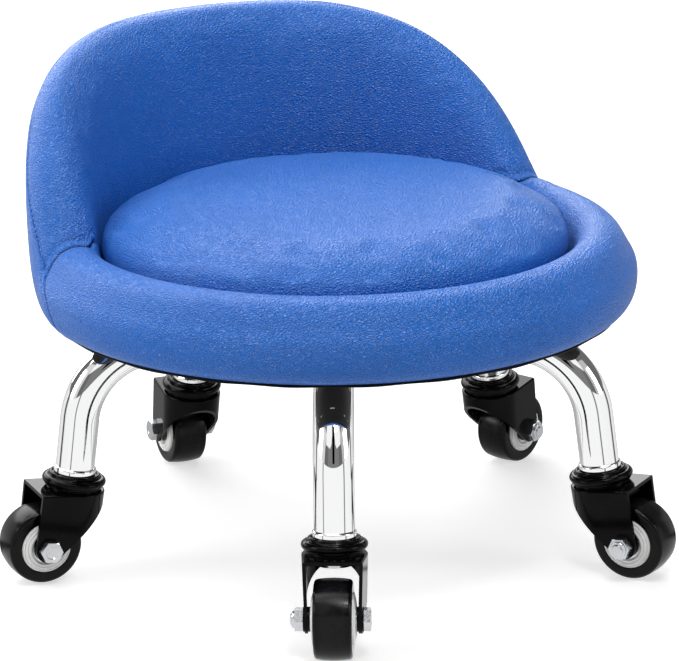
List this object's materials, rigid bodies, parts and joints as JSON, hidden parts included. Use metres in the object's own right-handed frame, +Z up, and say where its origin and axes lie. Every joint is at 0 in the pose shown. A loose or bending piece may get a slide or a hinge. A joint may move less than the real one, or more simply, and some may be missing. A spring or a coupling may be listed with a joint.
{
  "type": "rolling mechanic's seat",
  "caption": "Low round padded seat with a wrap-around back, swivelling on a star base of bent chrome tube legs, each on a tilted twin-plate swivel caster.",
  "frame": {"origin": "on the floor, under the axis that the seat swivels on", "axes": "+Z up along the seat's swivel axis; the seat faces -Y, its back is at +Y; +X to the right of a viewer who faces the seat's front"},
  "size_m": [0.4337, 0.4273, 0.3295],
  "materials": {
    "upholstery": "satin",
    "lining": "matte",
    "chrome": "polished",
    "black_steel": "gloss",
    "plate_steel": "satin",
    "zinc": "satin",
    "bearing_steel": "polished",
    "tread": "gloss",
    "wheel_white": "gloss",
    "plywood": "matte"
  },
  "bodies": {
    "base": {"hub_core": "black_steel", "hub_plate": "black_steel", "base_bolts": "zinc", "swivel_bottom_plate": "plate_steel", "swivel_pivot": "zinc", "swivel_balls": "bearing_steel", "leg_collars": "chrome", "caster_stems": "zinc", "caster_balls": "bearing_steel", "leg_1": "chrome", "race_cap_1": "black_steel", "leg_2": "chrome", "race_cap_2": "black_steel", "leg_3": "chrome", "race_cap_3": "black_steel", "leg_4": "chrome", "race_cap_4": "black_steel", "leg_5": "chrome", "race_cap_5": "black_steel"},
    "seat": {"swivel_top_plate": "plate_steel", "seat_bolts": "zinc", "t_nuts": "zinc", "seat_board": "plywood", "back_board": "plywood", "cushion_board": "plywood", "board_screws": "zinc", "dust_cover": "lining", "back_pad": "upholstery", "rim_pad": "upholstery", "seat_cushion": "upholstery"},
    "fork_1": {"fork_1": "black_steel", "axle_bolt_1": "zinc", "lock_nut_1": "zinc"},
    "wheel_1": {"tyre_1": "tread", "wheel_core_1": "wheel_white", "wheel_bearings_1": "bearing_steel"},
    "fork_2": {"fork_2": "black_steel", "axle_bolt_2": "zinc", "lock_nut_2": "zinc"},
    "wheel_2": {"tyre_2": "tread", "wheel_core_2": "wheel_white", "wheel_bearings_2": "bearing_steel"},
    "fork_3": {"fork_3": "black_steel", "axle_bolt_3": "zinc", "lock_nut_3": "zinc"},
    "wheel_3": {"tyre_3": "tread", "wheel_core_3": "wheel_white", "wheel_bearings_3": "bearing_steel"},
    "fork_4": {"fork_4": "black_steel", "axle_bolt_4": "zinc", "lock_nut_4": "zinc"},
    "wheel_4": {"tyre_4": "tread", "wheel_core_4": "wheel_white", "wheel_bearings_4": "bearing_steel"},
    "fork_5": {"fork_5": "black_steel", "axle_bolt_5": "zinc", "lock_nut_5": "zinc"},
    "wheel_5": {"tyre_5": "tread", "wheel_core_5": "wheel_white", "wheel_bearings_5": "bearing_steel"}
  },
  "joints": [
    {"name": "seat_swivel", "type": "hinge", "parent": "base", "child": "seat", "pos_m": [0, 0, 0.1676], "axis": [0, 0, 1], "continuous": true},
    {"name": "caster_1_swivel", "type": "hinge", "parent": "base", "child": "fork_1", "pos_m": [-0.08755, -0.15475, 0.0635], "axis": [0.0643, 0.1136, 0.9914], "continuous": true},
    {"name": "wheel_1_spin", "type": "hinge", "parent": "fork_1", "child": "wheel_1", "pos_m": [-0.10006, -0.1755, 0.025], "axis": [0.8528, -0.5222, 0.0046], "continuous": true},
    {"name": "caster_2_swivel", "type": "hinge", "parent": "base", "child": "fork_2", "pos_m": [0.12012, -0.13109, 0.0635], "axis": [-0.0882, 0.0962, 0.9914], "continuous": true},
    {"name": "wheel_2_spin", "type": "hinge", "parent": "fork_2", "child": "wheel_2", "pos_m": [0.13301, -0.15149, 0.02494], "axis": [0.8691, 0.4938, 0.0294], "continuous": true},
    {"name": "caster_3_swivel", "type": "hinge", "parent": "base", "child": "fork_3", "pos_m": [0.16179, 0.07373, 0.0635], "axis": [-0.1188, -0.0541, 0.9914], "continuous": true},
    {"name": "wheel_3_spin", "type": "hinge", "parent": "fork_3", "child": "wheel_3", "pos_m": [0.18417, 0.08302, 0.025], "axis": [-0.3749, 0.927, 0.0057], "continuous": true},
    {"name": "caster_4_swivel", "type": "hinge", "parent": "base", "child": "fork_4", "pos_m": [-0.02013, 0.17666, 0.0635], "axis": [0.0148, -0.1297, 0.9914], "continuous": true},
    {"name": "wheel_4_spin", "type": "hinge", "parent": "fork_4", "child": "wheel_4", "pos_m": [-0.0189, 0.20077, 0.02495], "axis": [-0.9952, 0.0941, 0.0271], "continuous": true},
    {"name": "caster_5_swivel", "type": "hinge", "parent": "base", "child": "fork_5", "pos_m": [-0.17423, 0.03545, 0.0635], "axis": [0.1279, -0.026, 0.9914], "continuous": true},
    {"name": "wheel_5_spin", "type": "hinge", "parent": "fork_5", "child": "wheel_5", "pos_m": [-0.19832, 0.03765, 0.02498], "axis": [-0.0622, -0.9979, -0.0182], "continuous": true}
  ]
}
